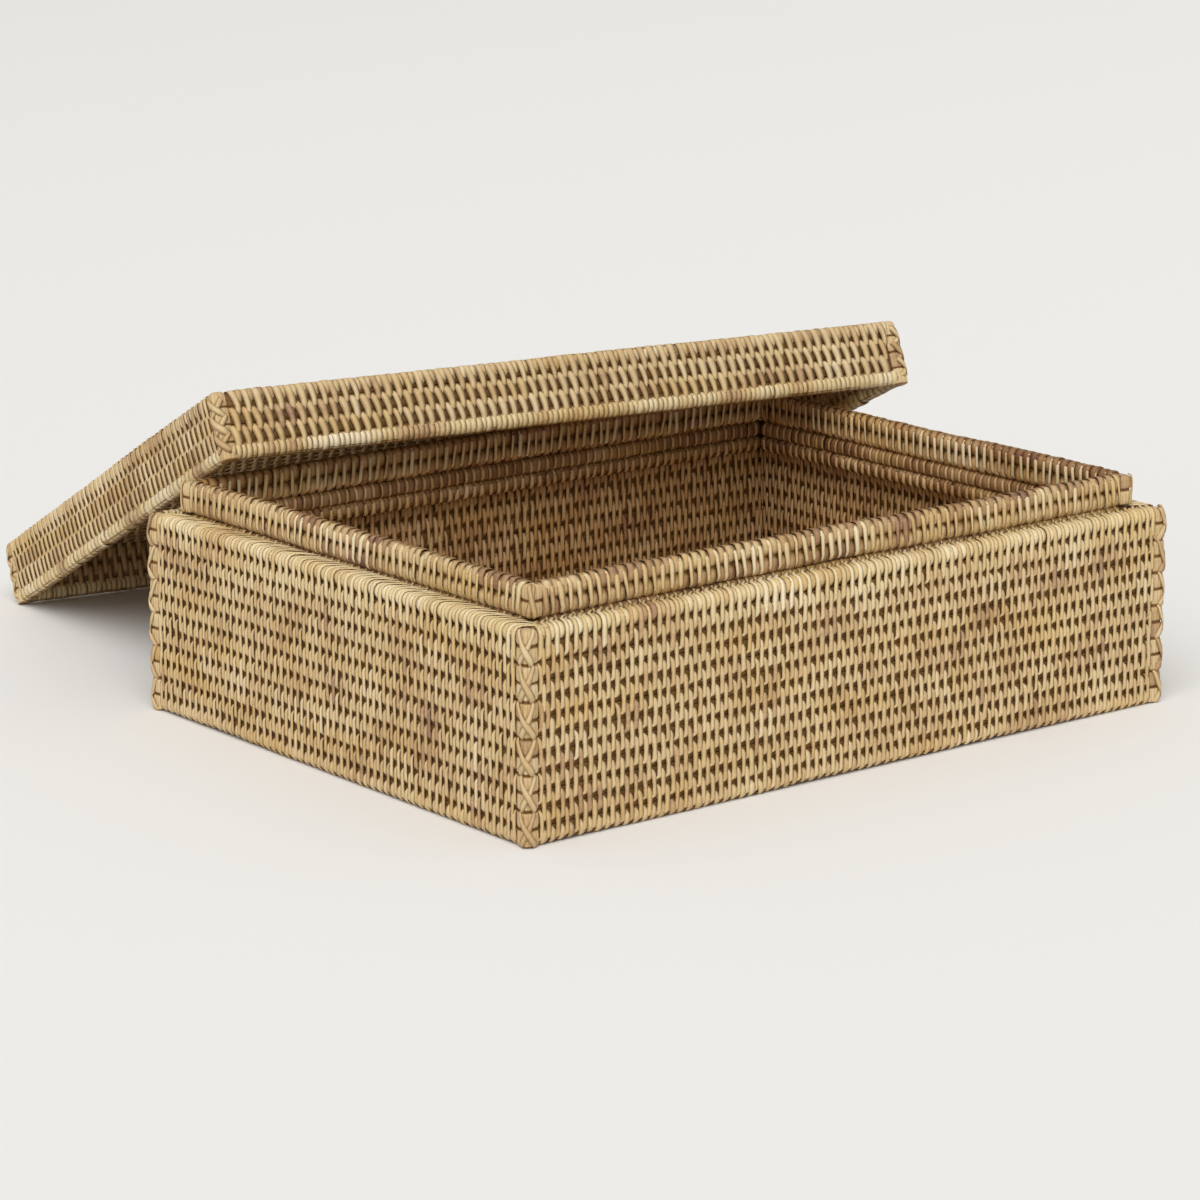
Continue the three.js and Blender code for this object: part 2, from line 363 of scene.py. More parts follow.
def lay_bands(path, run, rise, out, rng, row, thickness, crown=0.42, jitter=0.25, sway=0.25, uneven=0.1, finish=0):
    """Bands on one path, one for each run. rise, out and row are numbers or have one for each band. A point stands
    at run + shift * own sweep + tilt * its share of the height, at rise + up and at out + the path's out, with a
    small lift along the band's face. The face's way is the path's own way, turned by a quarter."""
    count, steps = len(run), len(path)
    rise, out, row = (np.zeros(count) + value for value in (rise, out, row))
    ahead, behind = np.roll(path, -1, 0), np.roll(path, 1, 0)
    way = (ahead - behind)[:, :2] / np.linalg.norm((ahead - behind)[:, :2], axis=1)[:, None]
    face = np.stack([0 * way[:, 0], -way[:, 0], way[:, 1]], 1)
    if (face[:, 2] * (path[:, 0] - path[:, 0].mean())).sum() < 0:
        face = -face
    height = path[:, 1] - path[:, 1].mean()
    tilt = rng.normal(0, jitter, count)
    own_sweep = rng.normal(1, sway, count)[:, None] * path[:, 2]
    leaning = tilt[:, None] * height / np.abs(height).max()
    place_run = (run + rng.normal(0, jitter, count))[:, None] + own_sweep + leaning
    lift = rng.normal(0, BAND_LIFT, count)
    place_out = out[:, None] + path[:, 0] + face[:, 2] * lift[:, None]
    place_up = (rise + rng.normal(0, jitter / 2, count))[:, None] + path[:, 1] + face[:, 1] * lift[:, None]
    middle = np.stack([place_run, place_up, place_out], 2)
    grid = np.ones((count, steps, 1))
    width = path[:, 3] * rng.normal(1, uneven, count).clip(NARROWEST, WIDEST)[:, None]
    depth = (path[:, 0].max() - path[:, 0]) / (thickness / 2)
    return bands(middle, grid * X_WAY, grid * face, width, np.full((count, steps), crown), True,
                 rng.random(count), run, row, np.ones((count, 1)) * depth, finish=finish)


print("bands vary in width between", NARROWEST, "and", WIDEST, "of the path's")

# %% [markdown]
# ## Rods
#
# The rods show as the brown floor of each gap between stitches, and without them one would look straight through
# the wall. They could be cylinders, but they are cane cores and not straight: each wanders up and down a little, and
# the stitches that bind it go along. Bound tightly they press on each other, so their sections are superellipses.

# %% Rods that wander
WANDER_WAVES = 2 * np.pi / np.array([310.0, 140.0, 63.0])
WANDER_SIZES = np.array([0.26, 0.15, 0.08])
CORE = 1
LOT_STEP = 0.37


def wander(phases, row, run):
    """How far a rod strays at run: the sum of three slow sine waves, whose phases belong to the rod's row."""
    return (WANDER_SIZES * np.sin(run[..., None] * WANDER_WAVES + phases[row])).sum(-1)


def capped_tube(rings, ends, axis, across, lot, row, depth, finish):
    """A closed tube from rings of points and a point at each end, joined by fans of triangles. It follows the run
    (axis 0) or stands upright (axis 1). across and lot have a number for each point of a ring."""
    steps, sides = rings.shape[:2]
    points = np.concatenate([rings.reshape(-1, 3), ends])
    total = steps * sides
    edge, beside, last = np.arange(sides), (np.arange(sides) + 1) % sides, total - sides
    caps = np.concatenate([np.stack([beside, edge, np.full(sides, total)], 1),
                           np.stack([last + edge, last + beside, np.full(sides, total + 1)], 1)])
    strip = np.stack([np.append(np.tile(across, steps), [0, 0]), points[:, axis],
                      np.append(np.tile(lot, steps), lot[:2])], 1)
    place = np.stack([points[:, 0] * (axis == 0), np.full(len(points), float(row)), depth], 1)
    return outward(make_part(points, ring_quads(steps, sides, False), caps, strip, place, finish))


def rods(rises, outs, half_run, deep, high, phases, power=2.6, sides=16, step=10.0):
    """Closed rods along the run, one for each rise. A section is a superellipse of radii deep and high (one for all
    rods or one for each), and the line wanders."""
    stations = np.linspace(-half_run, half_run, max(2, int(2 * half_run / step)))
    turn = np.arange(sides) * 2 * np.pi / sides
    swell = superellipse_reach(turn, power)
    section_up, section_out = swell * np.sin(turn), deep * swell * np.cos(turn)
    parts = []
    for row, (rise, out, radius) in enumerate(zip(rises, outs, np.broadcast_to(high, len(rises)))):
        stray = wander(phases, np.full(len(stations), row), stations)[:, None]
        rings = np.stack([stations[:, None] + 0 * turn, rise + stray + radius * section_up,
                          out + section_out + 0 * stray], -1)
        ends = np.array([[-half_run, rise + stray[0, 0], out], [half_run, rise + stray[-1, 0], out]])
        depth = np.ones(rings.size // 3 + 2)
        lot = np.full(sides, row * LOT_STEP)
        parts.append(capped_tube(rings, ends, 0, turn / np.pi - 1, lot, row, depth, CORE))
    return parts


print("rods wander by up to", WANDER_SIZES.sum(), "mm")

# %% [markdown]
# ## Helpers for node trees
#
# A material can be wired by hand in the shader editor. Written as a script the same nodes can be made again for each
# tone of peel, and these few functions keep the script as short as the drawing would be.

# %% Small helpers for node trees
def fill(tree, socket, value):
    """Links a socket to another one, or sets it to a number or colour."""
    if isinstance(value, bpy.types.NodeSocket):
        tree.links.new(value, socket)
    else:
        socket.default_value = value


def add_node(tree, kind, **values):
    """Adds a shader node. Each named value is a setting of the node, or fills the input of that name."""
    node = tree.nodes.new(kind)
    for name, value in values.items():
        if hasattr(node, name):
            setattr(node, name, value)
        else:
            fill(tree, node.inputs[name.replace("_", " ")], value)
    return node


def calculate(tree, operation, *values):
    """A Math node's result. Each value is a number or a socket."""
    node = add_node(tree, "ShaderNodeMath", operation=operation)
    for socket, value in zip(node.inputs, values):
        fill(tree, socket, value)
    return node.outputs[0]


def times(tree, first, second):
    """The product of two numbers or sockets."""
    return calculate(tree, "MULTIPLY", first, second)


def pack_vector(tree, x, y, z):
    """Three numbers or sockets as one vector socket."""
    return add_node(tree, "ShaderNodeCombineXYZ", X=x, Y=y, Z=z).outputs[0]


def noise(tree, x, y, z, detail=2.0, roughness=0.5):
    """Noise between 0 and 1 at a place."""
    return add_node(tree, "ShaderNodeTexNoise", Vector=pack_vector(tree, x, y, z), Scale=1.0, Detail=detail,
                    Roughness=roughness).outputs[0]


def map_range(tree, value, low, high, to_low=0.0, to_high=1.0, kind="LINEAR"):
    """Moves a value from one range to another and keeps it inside that."""
    return add_node(tree, "ShaderNodeMapRange", interpolation_type=kind, Value=value, From_Min=low, From_Max=high,
                    To_Min=to_low, To_Max=to_high).outputs[0]


def blend_colours(tree, share, first, second, blend="MIX"):
    """A Mix node between two colours, each a socket or a colour."""
    node = add_node(tree, "ShaderNodeMix", data_type="RGBA", blend_type=blend)
    for number, value in ((0, share), (6, first), (7, second)):
        fill(tree, node.inputs[number], value)
    return node.outputs[2]


def paint(red, green, blue):
    """A colour written as 0 to 255 on screen, as the linear numbers that Blender mixes light with."""
    share = np.array([red, green, blue]) / 255
    linear = np.where(share <= 0.04045, share / 12.92, ((share + 0.055) / 1.055) ** 2.4)
    return (*linear.tolist(), 1.0)


def ramp(tree, value, stops):
    """A colour ramp through (place, colour) stops."""
    node = tree.nodes.new("ShaderNodeValToRGB")
    elements = node.color_ramp.elements
    elements[0].position, elements[0].color = stops[0]
    elements[1].position, elements[1].color = stops[-1]
    for place, colour in stops[1:-1]:
        elements.new(place).color = colour
    tree.links.new(value, node.inputs[0])
    return node.outputs[0]


def read_attribute(tree, name):
    """The three numbers of a mesh attribute, as sockets."""
    vector = add_node(tree, "ShaderNodeAttribute", attribute_name=name).outputs["Vector"]
    return add_node(tree, "ShaderNodeSeparateXYZ", Vector=vector).outputs


def new_finish(name):
    """A new material, its node tree and its shader."""
    finish = bpy.data.materials.new(name)
    finish.use_nodes = True
    return finish, finish.node_tree, finish.node_tree.nodes["Principled BSDF"]


def roughen(tree, shader, pattern, smoothest, roughest, strength, distance):
    """Roughness between two numbers, and relief, both after a pattern."""
    tree.links.new(map_range(tree, pattern, 0.0, 1.0, smoothest, roughest), shader.inputs["Roughness"])
    bump = add_node(tree, "ShaderNodeBump", Strength=strength, Distance=distance, Height=pattern)
    tree.links.new(bump.outputs[0], shader.inputs["Normal"])


print("white is", paint(255, 255, 255))

# %% [markdown]
# ## The colours of the peel
#
# One strip is never one colour: it is cream where the cane was young and tan, yellow or purplish brown elsewhere.
# As one strip makes many stitches in a row, these colours run along the rows in patches. A photograph of rattan
# could be wrapped round the strips, but noise that reads the `place` attribute gives patches that follow the rows
# on every side, however large the box is. Four patterns are added up with these weights and coloured by a ramp.

# %% Patches, streaks and mottling
PATCH_SCALE, STREAK_SCALE, STAIN_SCALE = 0.021, 0.055, 0.013  # how fast each changes along the run, for each mm
MOTTLE_SCALE, MOTTLE_ALONG_SCALE = 0.33, 0.3
ROW_DRIFT, ROW_JUMP = 0.62, 7.31  # how far apart neighbouring rows are in patches, and in streaks
STAIN_SLICE = 9.0
PATCH_WEIGHT, STREAK_WEIGHT, LOT_WEIGHT, MOTTLE_WEIGHT = 0.62, 0.38, 0.05, 0.16
RAMP_PLACES = (0.33, 0.40, 0.45, 0.51, 0.58, 0.68)
STAIN_FROM, STAIN_TO, STAIN_SHARE = 0.5, 0.72, 0.55
STAIN_YELLOW = paint(208, 172, 98)


def peel_colour(tree, colours, seed, run, row, along, lot):
    """A ramp at the weighted sum of patch, streak, lot and mottle, with yellow stains over it."""
    near_row = calculate(tree, "ADD", times(tree, row, ROW_DRIFT), seed)
    own_row = times(tree, row, ROW_JUMP)
    patch = noise(tree, times(tree, run, PATCH_SCALE), near_row, 0.0, 3.0, 0.55)
    streak = noise(tree, times(tree, run, STREAK_SCALE), own_row, seed, 1.0)
    mottle = noise(tree, times(tree, run, MOTTLE_SCALE), times(tree, along, MOTTLE_ALONG_SCALE), own_row, 2.0, 0.6)
    value = -(LOT_WEIGHT + MOTTLE_WEIGHT) / 2
    weights = (streak, STREAK_WEIGHT), (patch, PATCH_WEIGHT), (lot, LOT_WEIGHT), (mottle, MOTTLE_WEIGHT)
    for pattern, weight in weights:
        value = calculate(tree, "MULTIPLY_ADD", pattern, weight, value)
    colour = ramp(tree, value, list(zip(RAMP_PLACES, [paint(*c) for c in colours])))
    stain = noise(tree, times(tree, run, STAIN_SCALE), near_row, STAIN_SLICE)
    stain = map_range(tree, stain, STAIN_FROM, STAIN_TO, 0.0, STAIN_SHARE)
    return blend_colours(tree, stain, colour, STAIN_YELLOW)


print("peel patches are about", round(1 / PATCH_SCALE), "mm long")

# %% [markdown]
# ## The finish of the peel
#
# Peel is satin, with fine fibres along each strip, which the same noise shows as colour, gloss and relief. In the
# seams the weave lies in shade, and the colour paints that shade in as well: it darkens with depth, towards a
# painted shade brown half-way through the wall, and past that it is multiplied by a painted shade tone for the
# inside. A strip's edges get a little painted shade as well, so that neighbours stay apart.

# %% The peel's finish
# Painted shade: the brown that the seams and the edges of strips are darkened towards.
PAINTED_SHADE_BROWN = paint(140, 100, 48)
# Painted shade for the inside of a wall, multiplied in past its middle; the first leaves the colour as it is.
UNSHADED, BOX_INSIDE_SHADE, LID_INSIDE_SHADE = (1.0, 1.0, 1.0, 1.0), (0.96, 0.83, 0.72, 1.0), (0.9, 0.78, 0.68, 1.0)
FIBRES_ACROSS, FIBRES_ALONG = 3.4, 0.14
FIBRE_LOT_SHIFT, FIBRE_LOT_SLICE = 80.0, 57.0
FIBRE_CONTRAST, FIBRE_DARKEST = 0.42, 0.80
EDGE_SHADE_POWER, EDGE_SHADE_SHARE, SEAM_SHADE_SHARE = 5.0, 0.45, 0.86
INNER_FROM, INNER_TO = 1.0, 1.5
PEEL_GLOSS = 0.45


def peel_finish(name, colours, seed, dark_from=0.3, dark_to=0.85, inside=UNSHADED):
    """Satin cane peel. colours run from the darkest patches to the palest. The painted seam shade comes in between
    dark_from and dark_to, measured from a face (0) to the middle of the wall (1). inside multiplies in painted shade
    past it."""
    finish, tree, shader = new_finish(name)
    across, along, lot = read_attribute(tree, "strip")
    run, row, depth = read_attribute(tree, "place")
    colour = peel_colour(tree, colours, seed, run, row, along, lot)
    fibre_across = calculate(tree, "MULTIPLY_ADD", across, FIBRES_ACROSS, times(tree, lot, FIBRE_LOT_SHIFT))
    fibres = noise(tree, fibre_across, times(tree, along, FIBRES_ALONG), times(tree, lot, FIBRE_LOT_SLICE), 3.0, 0.6)
    grey = calculate(tree, "MULTIPLY_ADD", fibres, FIBRE_CONTRAST, FIBRE_DARKEST)
    colour = blend_colours(tree, 1.0, colour, pack_vector(tree, grey, grey, grey), "MULTIPLY")
    # Painted shade at a strip's edges.
    edge = calculate(tree, "POWER", calculate(tree, "ABSOLUTE", across), EDGE_SHADE_POWER)
    colour = blend_colours(tree, times(tree, edge, EDGE_SHADE_SHARE), colour, PAINTED_SHADE_BROWN)
    # Painted shade in the seams, darkest half-way through the wall.
    from_middle = calculate(tree, "ABSOLUTE", calculate(tree, "SUBTRACT", depth, 1.0))
    seam_shade = map_range(tree, calculate(tree, "SUBTRACT", 1.0, from_middle), dark_from, dark_to, kind="SMOOTHSTEP")
    colour = blend_colours(tree, times(tree, seam_shade, SEAM_SHADE_SHARE), colour, PAINTED_SHADE_BROWN)
    # Painted shade on the inside of the wall.
    colour = blend_colours(tree, map_range(tree, depth, INNER_FROM, INNER_TO), colour, inside, "MULTIPLY")
    tree.links.new(colour, shader.inputs["Base Color"])
    roughen(tree, shader, fibres, 0.42, 0.62, 0.35, 0.0003)
    shader.inputs["Specular IOR Level"].default_value = PEEL_GLOSS
    return finish


STRAW = (156, 120, 95), (186, 152, 110), (200, 169, 122), (209, 181, 134), (217, 192, 148), (227, 207, 168)
wall_peel = peel_finish("wall_peel", STRAW, 3.1, inside=BOX_INSIDE_SHADE)
print("finish:", wall_peel.name)

# %% [markdown]
# ## The finish of the core rods
#
# Core is the cane without its skin: matt, browner, with long fibres. The same noise as for the peel would do, only
# squeezed along the rod so that its spots become fibres. The rods of the box and of the lid's front wall lie in
# deeper shade than the others, so there are two tones, and their darker one has painted shade in it.

# %% The core rods' finish
GRAIN_AROUND, GRAIN_ALONG = 9.0, 0.05


def core_finish(name, light, dark):
    """Cane core: noise at (around * 9, along * 0.05, lot) goes from a dark tone to a light one."""
    finish, tree, shader = new_finish(name)
    around, along, lot = read_attribute(tree, "strip")
    grain = noise(tree, times(tree, around, GRAIN_AROUND), times(tree, along, GRAIN_ALONG), lot, 4.0, 0.6)
    tree.links.new(ramp(tree, grain, [(0.3, dark), (0.7, light)]), shader.inputs["Base Color"])
    roughen(tree, shader, grain, 0.6, 0.85, 0.4, 0.0004)
    return finish


# Painted shade: the darker tone is for rods that lie in deeper shade.
shaded_core = core_finish("shaded_core", paint(128, 90, 36), paint(96, 65, 22))
pale_core = core_finish("pale_core", paint(168, 132, 82), paint(132, 100, 56))
print("finishes:", shaded_core.name, pale_core.name)

# %% [markdown]
# ## Where the stitches of a row stand
#
# A row's stitches pass between those of the rows above and below, so on the box each row is staggered by half a
# stitch. On the long sides of the lid the maker went on in the same direction instead, and each row stands a little
# further along than the one below it.

# %% Rows of stitches
END_EDGE = 1.4


def row_places(span, spacing, row):
    """Even places along a span, which the stitches fill from end to end: an even row's stand in the middle of each
    space and an odd row's between the spaces, where the first and last are kept a little in from the end."""
    spaces = round(span / spacing)
    even = (np.arange(spaces) + 0.5) * span / spaces - span / 2
    odd = np.linspace(-span / 2, span / 2, spaces + 1).clip(END_EDGE - span / 2, span / 2 - END_EDGE)
    return odd if row % 2 else even


def stitch_rows(path, rows, span, spacing, pitch, foot, out, phases, rng, thickness, climb=None, **look):
    """One part for each row: bands on a path round rods row - 1 and row, straying as those two rods do. Rows are
    staggered, or where climb is given each stands that much further along the run than the one below it."""
    parts = []
    last = len(phases) - 1
    for row in rows:
        run = row_places(span, spacing, row if climb is None else 0) + (climb or 0) * (row - np.mean(rows))
        below = wander(phases, np.full(len(run), min(max(row - 1, 0), last)), run)
        above = wander(phases, np.full(len(run), min(row, last)), run)
        rise = foot + row * pitch + (below + above) / 2
        parts.append(lay_bands(path, run, rise, out, rng, row, thickness, **look))
    return parts


print("places of a short even row:", row_places(20, 5, 0))

# %% [markdown]
# ## The walls of the box
#
# Eleven rods, with stitches round each pair of them, and short wraps under the lowest rod. A stitch starts narrow,
# where it comes out of the seam, gets wider on its way down, and sweeps to the left as it dives. The same closed
# bands make the inside of the wall, as on the real box, so nothing has to be modelled twice.

# %% Walls
STITCH_SPACING = 5.3
WALL_SWEEP = 2.2
ROD_SHARE = 0.45
FACE_MARGIN, CORE_RECESS, END_RECESS = 0.42, 1.2, 0.45
INTO_POST = 1.0
ROD_OVERLAP, PRESSED_SQUARE = 0.05, 12
OWN_WANDER = 0.35
FOOT_WIDTH_SHARE, FOOT_POWER = 1.22, 2.6
LONG_SIDE = {"width": 3.35, "bends": (3.2, 2.4, 0.7), "table": np.array([
    [0.94, 0.4, -0.45], [0.9, 0.62, -0.4], [0.8, 0.86, -0.25], [0.62, 0.95, -0.1], [0.0, 0.76, 0.05],
    [-0.5, 0.98, 0.06], [-0.64, 1.1, -0.12], [-0.76, 1.05, -0.6], [-0.81, 0.7, -1.0]])}
SHORT_SIDE = {"width": 3.2, "bends": (3.0, 2.4, 0.7), "table": np.array([
    [0.94, 0.4, -0.1], [0.9, 0.58, -0.08], [0.8, 0.78, -0.05], [0.62, 0.9, 0.0], [0.0, 0.78, 0.0],
    [-0.5, 1.0, 0.05], [-0.64, 1.12, 0.0], [-0.76, 1.1, -0.25], [-0.81, 0.75, -0.6]])}


def wall_weave(path, span, row_count, pitch, thickness, spacing, seed, foot_reach, top_reach, recess=CORE_RECESS,
               **look):
    """The rods and stitches of one wall, flat. Rows from 1 bind rods row - 1 and row. The rods are pressed against
    each other, so they are nearly square; the lowest reaches down by foot_reach and the top one up by top_reach."""
    rng = np.random.default_rng(seed)
    phases = rng.uniform(0, 2 * np.pi, (row_count, 3)) * OWN_WANDER + rng.uniform(0, 2 * np.pi, 3)
    out = -thickness / 2
    below, above = np.full((2, row_count), pitch / 2 + ROD_OVERLAP)
    below[0], above[-1] = foot_reach, top_reach
    middles = pitch * (np.arange(row_count) + 0.5) + (above - below) / 2
    parts = rods(middles, np.full(row_count, out), span / 2 + INTO_POST, thickness / 2 - FACE_MARGIN - recess,
                 (above + below) / 2, phases, PRESSED_SQUARE)
    parts += stitch_rows(path, range(1, row_count), span, spacing, pitch, 0.0, out, phases, rng, thickness, **look)
    return parts, phases, rng


for number, (side, run_length) in enumerate(zip(SIDES, SIDE_LENGTHS)):
    span = run_length - 2 * WALL_THICKNESS + INTO_POST
    stitch = SHORT_SIDE if number % 2 else LONG_SIDE
    deep, high = WALL_THICKNESS / 2 - FACE_MARGIN, WALL_PITCH * ROD_SHARE
    path = stitch_path(WALL_PITCH, deep, high, stitch["width"], stitch["table"], WALL_SWEEP, stitch["bends"])
    parts, phases, rng = wall_weave(path, span, WALL_RODS, WALL_PITCH, WALL_THICKNESS, STITCH_SPACING, 101 + number,
                                    high - END_RECESS, WALL_PITCH / 2)
    foot_wrap = wrap_path(deep, high, stitch["width"] * FOOT_WIDTH_SHARE, power=FOOT_POWER)
    runs = row_places(span, STITCH_SPACING, 0)
    rise = WALL_PITCH / 2 + wander(phases, np.zeros(len(runs), int), runs)
    parts.append(lay_bands(foot_wrap, runs, rise, -WALL_THICKNESS / 2, rng, 0, WALL_THICKNESS))
    woven_piece(f"weave_wall_{side}", "base", "woven_wall", parts, box_sides[side], [wall_peel, shaded_core],
                f"base_wall_{side}", number=number)
    print(f"wall {side}: {made[f'weave_wall_{side}']} triangles")

# %% [markdown]
# ## The shoulder
#
# The twelfth rod lies on the wall's outer edge. Narrow strands climb from the row below, roll over this rod and run
# in to the foot of the collar, where they dive. Between them wide wraps of the same peel fill the crest, so the
# shoulder looks paler and closer than the wall. Its paths go too far in to be worked out from rods alone, so each is
# drawn as a loop of out, up, shift and width.

# %% Shoulder
SHOULDER_STRAND = np.array([  # out and up from the wall's top edge, shift, width
    [-4.17, -16.2, -1.3, 1.8], [-2.35, -15.8, -0.8, 2.8], [-1.05, -14.5, -0.2, 3.3], [-0.47, -12.9, 0.0, 3.3],
    [-0.6, -8.33, 0.0, 3.1], [-0.45, -4.6, 0.0, 2.9], [-0.85, -2.5, 0.05, 2.9], [-2.1, -0.95, 0.2, 3.0],
    [-4.1, -0.42, 0.6, 3.0], [-7.0, -0.5, 1.5, 3.0], [-9.0, -0.6, 2.9, 2.9], [-11.0, -0.75, 4.9, 2.9],
    [-13.4, -1.0, 7.2, 3.1], [-13.9, -4.5, 7.2, 2.4], [-9.0, -10.0, 1.6, 2.0], [-7.3, -14.4, -0.6, 2.2]])
SHOULDER_WRAP = np.array([
    [-4.3, -7.95, -0.4, 3.2], [-2.0, -7.3, -0.2, 4.2], [-0.85, -5.5, 0.0, 4.5], [-0.66, -3.9, 0.0, 4.5],
    [-1.02, -2.3, 0.05, 4.5], [-2.3, -0.98, 0.2, 4.5], [-4.2, -0.52, 0.6, 4.5], [-6.6, -0.75, 1.3, 4.3],
    [-8.6, -0.95, 2.6, 3.0], [-10.6, -1.2, 4.7, 1.9], [-12.9, -1.5, 7.0, 1.5], [-9.0, -7.9, 2.6, 2.4]])
SHOULDER_DEPTH = 70.0  # no thickness, but so deep that the finish leaves the tails pale right up to the collar
SHOULDER_LOOK = {"jitter": 0.2, "sway": 0.05}
SHOULDER_CORE_DROPS, SHOULDER_CORE_OUTS = np.array([4.9, 7.2]), [-4.6, -9.6]
SHOULDER_CORE_DEEP, SHOULDER_CORE_HIGH, SHOULDER_CORE_END = 3.2, 3.7, 6
PALE = (162, 124, 96), (200, 166, 118), (214, 186, 134), (224, 200, 152), (232, 212, 170), (240, 224, 190)
rim_peel = peel_finish("rim_peel", PALE, 11.7)

for number, (side, run_length) in enumerate(zip(SIDES, SIDE_LENGTHS)):
    rng = np.random.default_rng(201 + number)
    span = run_length - 2 * WALL_THICKNESS + INTO_POST
    phases = rng.uniform(0, 2 * np.pi, (2, 3))
    parts = rods(WALL_TOP - SHOULDER_CORE_DROPS, SHOULDER_CORE_OUTS, run_length / 2 - SHOULDER_CORE_END,
                 SHOULDER_CORE_DEEP, SHOULDER_CORE_HIGH, phases)
    for path, row, crown in ((SHOULDER_STRAND, 11, 0.34), (SHOULDER_WRAP, 12, 0.22)):
        runs = row_places(span, STITCH_SPACING, row)
        parts.append(lay_bands(path, runs, WALL_TOP, 0, rng, row, SHOULDER_DEPTH, crown, **SHOULDER_LOOK))
    woven_piece(f"weave_shoulder_{side}", "base", "wrapped_rim", parts, box_sides[side], [rim_peel, shaded_core],
                f"shoulder_{side}", number=number)
print("shoulder:", triangles_with("shoulder"), "triangles")

# %% [markdown]
# ## The collar
#
# Two rods stand on the shoulder's inner edge, and the lid drops over them. Each rod is closely wrapped, and narrow
# strands tie the two together. The wraps show between the strands as broad flat patches, which get painted shade
# where they meet half-way up. That painted shade reaches a distance of its own on each wrap: `place` is given more
# depth there, and the finish darkens it as if it lay in a seam.

# %% Collar
COLLAR_STRAND_WIDTH, COLLAR_WRAP_WIDTH = 2.8, 5.0
COLLAR_STRAND_MARGIN, COLLAR_WRAP_MARGIN = 0.35, 0.62
COLLAR_BENDS = (2.2, 2.2, 1.0)
COLLAR_SLANTS = (1.5, -0.9)
COLLAR_WRAP_PINCH, COLLAR_WRAP_POWER, COLLAR_WRAP_OVERLAP = 0.85, 3.2, 0.1
# Painted shade at the collar's middle seam: its reach in mm, and its least and extra share by a wrap's random number.
COLLAR_SEAM_SHADE, SEAM_SHADE_LEAST, SEAM_SHADE_MORE = 3.4, 0.4, 1.3
COLLAR_CORE_RECESS, COLLAR_CORE_LOSS, COLLAR_CORE_RISE, COLLAR_CORE_POWER = 1.6, 0.8, 0.42, 7
COLLAR_STRAND = np.array([
    [0.96, 1.1, -1.0], [0.91, 1.2, -0.9], [0.8, 1.2, -0.72], [0.6, 1.1, -0.42], [0.0, 0.95, 0.0],
    [-0.55, 0.85, 0.25], [-0.78, 0.82, 0.36], [-0.9, 0.8, 0.42], [-0.96, 0.75, 0.45]])
TAN = (124, 86, 66), (158, 120, 86), (178, 142, 100), (194, 161, 114), (206, 178, 130), (220, 196, 154)
collar_peel = peel_finish("collar_peel", TAN, 23.4, inside=BOX_INSIDE_SHADE)
collar_out = -COLLAR_INSET - COLLAR_THICKNESS / 2
collar_rises = WALL_TOP + COLLAR_PITCH * (np.arange(COLLAR_RODS) + 0.5)
collar_wrap = wrap_path(COLLAR_THICKNESS / 2 - COLLAR_WRAP_MARGIN, COLLAR_PITCH / 2 + COLLAR_WRAP_OVERLAP,
                        COLLAR_WRAP_WIDTH, COLLAR_WRAP_PINCH, COLLAR_WRAP_POWER)


def shade_middle_seam(wraps):
    """Paints shade near the middle seam: place's depth goes to 1 by a share of 1 - distance / the wrap's reach."""
    from_seam = np.abs(wraps["points"][:, 1] - WALL_TOP - COLLAR_PITCH)
    reach = COLLAR_SEAM_SHADE * (SEAM_SHADE_LEAST + SEAM_SHADE_MORE * wraps["strip"][:, 2])
    wraps["place"][:, 2] += (1 - wraps["place"][:, 2]) * (1 - from_seam / reach).clip(0, 1)
    return wraps


for number, (side, run_length) in enumerate(zip(SIDES, SIDE_LENGTHS)):
    rng = np.random.default_rng(301 + number)
    span = run_length - 2 * COLLAR_INSET - 2 * COLLAR_THICKNESS + INTO_POST
    phases = np.tile(rng.uniform(0, 2 * np.pi, 3), (COLLAR_RODS, 1))
    core_rises = collar_rises + np.array([COLLAR_CORE_RISE, -COLLAR_CORE_RISE])
    parts = rods(core_rises, np.full(COLLAR_RODS, collar_out), span / 2 + INTO_POST,
                 COLLAR_THICKNESS / 2 - COLLAR_CORE_RECESS, COLLAR_PITCH / 2 - COLLAR_CORE_LOSS + COLLAR_CORE_RISE,
                 phases, COLLAR_CORE_POWER)
    tie = stitch_path(COLLAR_PITCH, COLLAR_THICKNESS / 2 - COLLAR_STRAND_MARGIN, COLLAR_PITCH / 2 - 0.3,
                      COLLAR_STRAND_WIDTH, COLLAR_STRAND, COLLAR_SLANTS[number % 2], COLLAR_BENDS)
    parts += stitch_rows(tie, [1], span, STITCH_SPACING, COLLAR_PITCH, WALL_TOP, collar_out, phases, rng,
                         COLLAR_THICKNESS, jitter=0.35, uneven=0.2, crown=0.32, finish=2)
    for level, rise in enumerate(collar_rises):
        runs = row_places(span, STITCH_SPACING, 0)
        stray = wander(phases, np.full(len(runs), level), runs)
        parts.append(shade_middle_seam(lay_bands(collar_wrap, runs, rise + stray, collar_out, rng, 3 + level,
                                           COLLAR_THICKNESS, crown=0.22)))
    woven_piece(f"weave_collar_{side}", "base", "collar_weave", parts, box_sides[side],
                [collar_peel, shaded_core, rim_peel], f"collar_{side}", number=number)
print("collar:", triangles_with("collar"), "triangles")

# %% [markdown]
# ## The ridges inside
#
# Under the collar two more rods run round the inside and carry it. Broad brown strips wrap each of them, with a
# narrow straw-coloured one between every two. On the lower rod the brown wraps stop short of its lower edge, so a
# row of dark gaps runs along it. Both kinds of strip are the wrap from before, with other widths.

